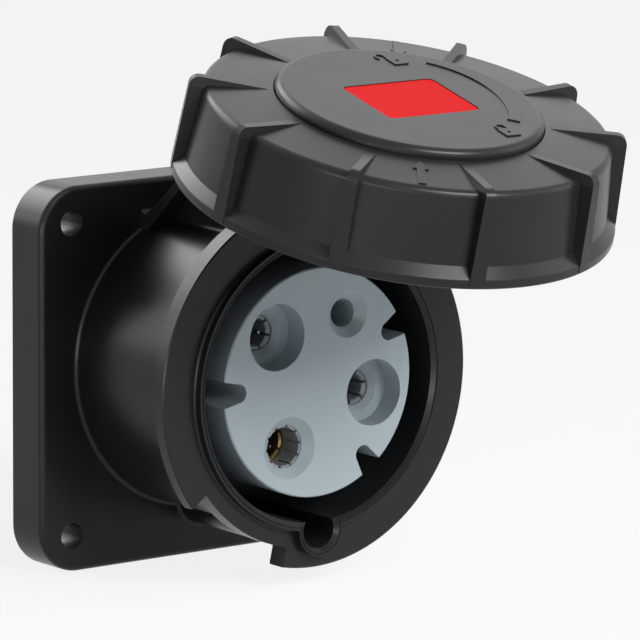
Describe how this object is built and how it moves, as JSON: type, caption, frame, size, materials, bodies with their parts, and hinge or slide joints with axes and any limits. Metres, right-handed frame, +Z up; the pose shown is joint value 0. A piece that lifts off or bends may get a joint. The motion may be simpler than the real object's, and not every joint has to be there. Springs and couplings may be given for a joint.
{
  "type": "industrial panel socket",
  "caption": "Black panel-mounted power socket with square flange, grey contact insert, screw terminals behind, and a hinged lid whose ribbed ring locks by bayonet.",
  "frame": {"origin": "centre of the four mounting holes, in the plane of the flange's rear face", "axes": "+Z up with the keyway at the bottom, -Y out of the panel along the socket's axis, +Y into the panel, +X right seen from the front; the socket's axis runs 3.3 mm above the origin"},
  "size_m": [0.1324, 0.1996, 0.1679],
  "materials": {
    "black_plastic": "satin moulded, black",
    "insert_plastic": "smooth moulded, blue-grey",
    "contact_metal": "machined brass",
    "plated_metal": "brass with a dull grey plating",
    "fastener_steel": "zinc-plated",
    "seal_rubber": "matt black",
    "washer_plastic": "natural, low friction",
    "plate_plastic": "smooth red"
  },
  "bodies": {
    "base": {"housing": "black_plastic", "panel_gasket": "seal_rubber", "insert": "insert_plastic", "contact_base": "black_plastic", "contact_l1": "plated_metal", "contact_l2": "plated_metal", "contact_pe": "contact_metal", "earth_cage": "plated_metal", "spring_l1": "fastener_steel", "spring_l2": "fastener_steel", "spring_pe": "fastener_steel", "clamp_l1_a": "fastener_steel", "clamp_l1_b": "fastener_steel", "clamp_l2_a": "fastener_steel", "clamp_l2_b": "fastener_steel", "clamp_pe_a": "fastener_steel", "clamp_pe_b": "fastener_steel", "joiner_1": "fastener_steel", "joiner_2": "fastener_steel", "joiner_3": "fastener_steel", "ear_screw_1": "fastener_steel", "ear_screw_2": "fastener_steel", "ear_screw_3": "fastener_steel", "ear_screw_4": "fastener_steel", "hinge_pin": "fastener_steel", "pin_clip_1": "fastener_steel", "pin_clip_2": "fastener_steel"},
    "lid": {"lid_cap": "black_plastic", "lid_seal": "seal_rubber", "slide_washer": "washer_plastic", "lid_disc": "black_plastic", "lid_plate": "plate_plastic", "disc_screw_1": "fastener_steel", "disc_screw_2": "fastener_steel", "disc_screw_3": "fastener_steel", "disc_screw_4": "fastener_steel"},
    "ring": {"lock_ring": "black_plastic"}
  },
  "joints": [
    {"name": "lid_hinge", "type": "hinge", "parent": "base", "child": "lid", "pos_m": [0, -0.0452, 0.0673], "axis": [1, 0, 0], "range_deg": [-25.3, 74.7]},
    {"name": "ring_turn", "type": "hinge", "parent": "lid", "child": "ring", "pos_m": [0, -0.11052, 0.06353], "axis": [0, 0.2639, -0.9646], "range_deg": [0, 115]}
  ]
}
